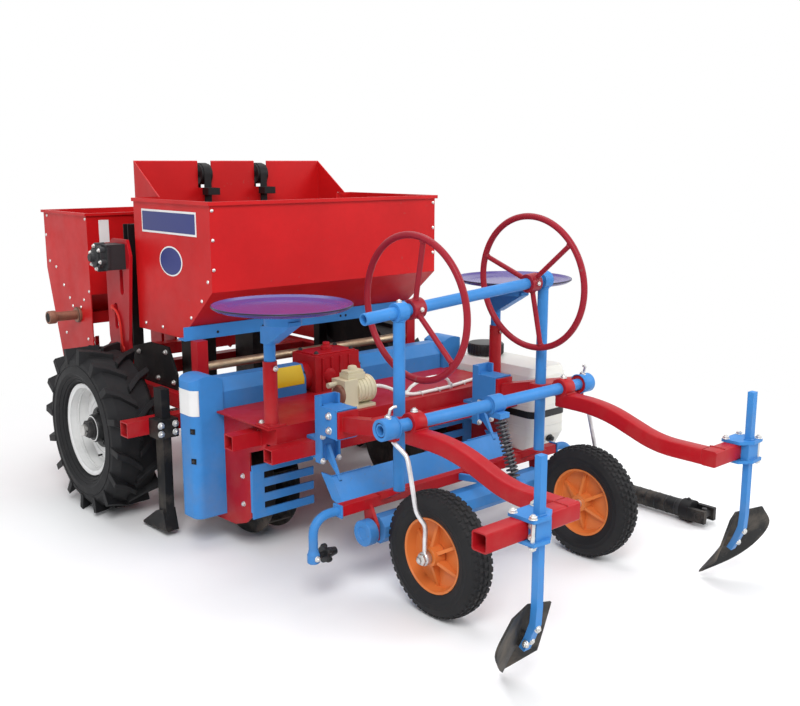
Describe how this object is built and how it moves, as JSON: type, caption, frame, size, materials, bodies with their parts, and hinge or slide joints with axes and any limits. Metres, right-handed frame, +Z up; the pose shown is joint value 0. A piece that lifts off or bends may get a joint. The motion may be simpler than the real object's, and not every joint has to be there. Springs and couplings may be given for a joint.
{
  "type": "potato planter",
  "caption": "Tractor-mounted potato planter with seed and fertilizer hoppers, lugged drive wheels, ridging rotors, seats, film reel, press wheels and covering shovels.",
  "frame": {"origin": "on the ground, in the middle of the part's box", "axes": "+X to the machine's right, +Y to the front, towards the tractor, +Z up"},
  "size_m": [1.57, 2.66, 1.226],
  "materials": {
    "frame_red": "gloss paint",
    "hopper_red": "gloss paint",
    "blue_paint": "gloss paint",
    "dark_red": "gloss paint",
    "black_paint": "satin paint",
    "bare_steel": "turned",
    "cast_grey": "cast",
    "tyre_black": "matt",
    "white_paint": "satin paint",
    "orange_plastic": "moulded",
    "seat_plastic": "moulded",
    "ivory_plastic": "moulded",
    "tank_plastic": "blow moulded",
    "black_plastic": "moulded"
  },
  "bodies": {
    "frame": {"chassis": "frame_red", "hitch": "frame_red", "axle": "bare_steel", "uprights": "black_paint", "metering": "cast_grey", "chain_arms": "frame_red", "seed_hopper": "hopper_red", "cup_chains": "black_paint", "seed_ducts": "black_paint", "fertilizer_hopper": "hopper_red", "shanks": "black_paint", "angle_rail": "blue_paint", "chain_covers": "blue_paint", "gearbox": "frame_red", "shafts": "bare_steel", "hoods": "blue_paint", "pump": "ivory_plastic", "deck": "frame_red", "grilles": "blue_paint", "seat_posts": "frame_red", "seat_arms": "blue_paint", "seats": "seat_plastic", "clamps": "blue_paint", "brackets": "frame_red", "pivot_tube": "blue_paint", "reel_posts": "blue_paint", "film_frame": "frame_red", "film_arms": "blue_paint", "film_plugs": "black_plastic", "board": "blue_paint", "spring": "bare_steel", "press_rods": "bare_steel", "tank": "tank_plastic", "drive_shaft": "black_paint"},
    "drive_wheel_left": {"drive_tyre_left": "tyre_black", "drive_rim_left": "white_paint"},
    "drive_wheel_right": {"drive_tyre_right": "tyre_black", "drive_rim_right": "white_paint"},
    "left_rotor": {"rotor_left": "black_paint"},
    "right_rotor": {"rotor_right": "black_paint"},
    "reel": {"reel_tube": "blue_paint", "reel_rings": "dark_red"},
    "roller": {"film_roller": "blue_paint"},
    "press_wheel_left": {"press_tyre_left": "tyre_black", "press_rim_left": "orange_plastic"},
    "press_wheel_right": {"press_tyre_right": "tyre_black", "press_rim_right": "orange_plastic"},
    "covering_arm_left": {"arm_left": "frame_red", "shovel_post_left": "blue_paint", "shovel_left": "black_paint"},
    "covering_arm_right": {"arm_right": "frame_red", "shovel_post_right": "blue_paint", "shovel_right": "black_paint"},
    "lid": {"tank_lid": "black_plastic"}
  },
  "joints": [
    {"name": "drive_wheel_left_turn", "type": "hinge", "parent": "frame", "child": "drive_wheel_left", "pos_m": [-0.695, 0.575, 0.295], "axis": [1, 0, 0], "continuous": true},
    {"name": "drive_wheel_right_turn", "type": "hinge", "parent": "frame", "child": "drive_wheel_right", "pos_m": [0.535, 0.575, 0.295], "axis": [1, 0, 0], "continuous": true},
    {"name": "press_wheel_left_turn", "type": "hinge", "parent": "frame", "child": "press_wheel_left", "pos_m": [-0.4, -0.847, 0.1775], "axis": [1, 0, 0], "continuous": true},
    {"name": "press_wheel_right_turn", "type": "hinge", "parent": "frame", "child": "press_wheel_right", "pos_m": [0.24, -0.847, 0.1775], "axis": [1, 0, 0], "continuous": true},
    {"name": "rotor_left_turn", "type": "hinge", "parent": "frame", "child": "left_rotor", "pos_m": [-0.42, 0.025, 0.192], "axis": [1, 0, 0], "continuous": true},
    {"name": "rotor_right_turn", "type": "hinge", "parent": "frame", "child": "right_rotor", "pos_m": [0.26, 0.025, 0.192], "axis": [1, 0, 0], "continuous": true},
    {"name": "film_roller_turn", "type": "hinge", "parent": "frame", "child": "roller", "pos_m": [-0.08, -0.613, 0.185], "axis": [1, 0, 0], "continuous": true},
    {"name": "reel_turn", "type": "hinge", "parent": "frame", "child": "reel", "pos_m": [-0.08, -0.663, 0.838], "axis": [0.9978, 0, 0.0663], "continuous": true},
    {"name": "covering_arm_left_lift", "type": "hinge", "parent": "frame", "child": "covering_arm_left", "pos_m": [-0.398, -0.743, 0.523], "axis": [-1, 0, 0], "range_deg": [0, 40]},
    {"name": "covering_arm_right_lift", "type": "hinge", "parent": "frame", "child": "covering_arm_right", "pos_m": [0.238, -0.743, 0.523], "axis": [-1, 0, 0], "range_deg": [0, 40]},
    {"name": "tank_lid_lift", "type": "slide", "parent": "frame", "child": "lid", "axis": [0, 0, 1], "range_m": [0, 0.12]}
  ],
  "couplings": [
    {"joint": "rotor_right_turn", "follows": "rotor_left_turn", "ratio": 1}
  ]
}
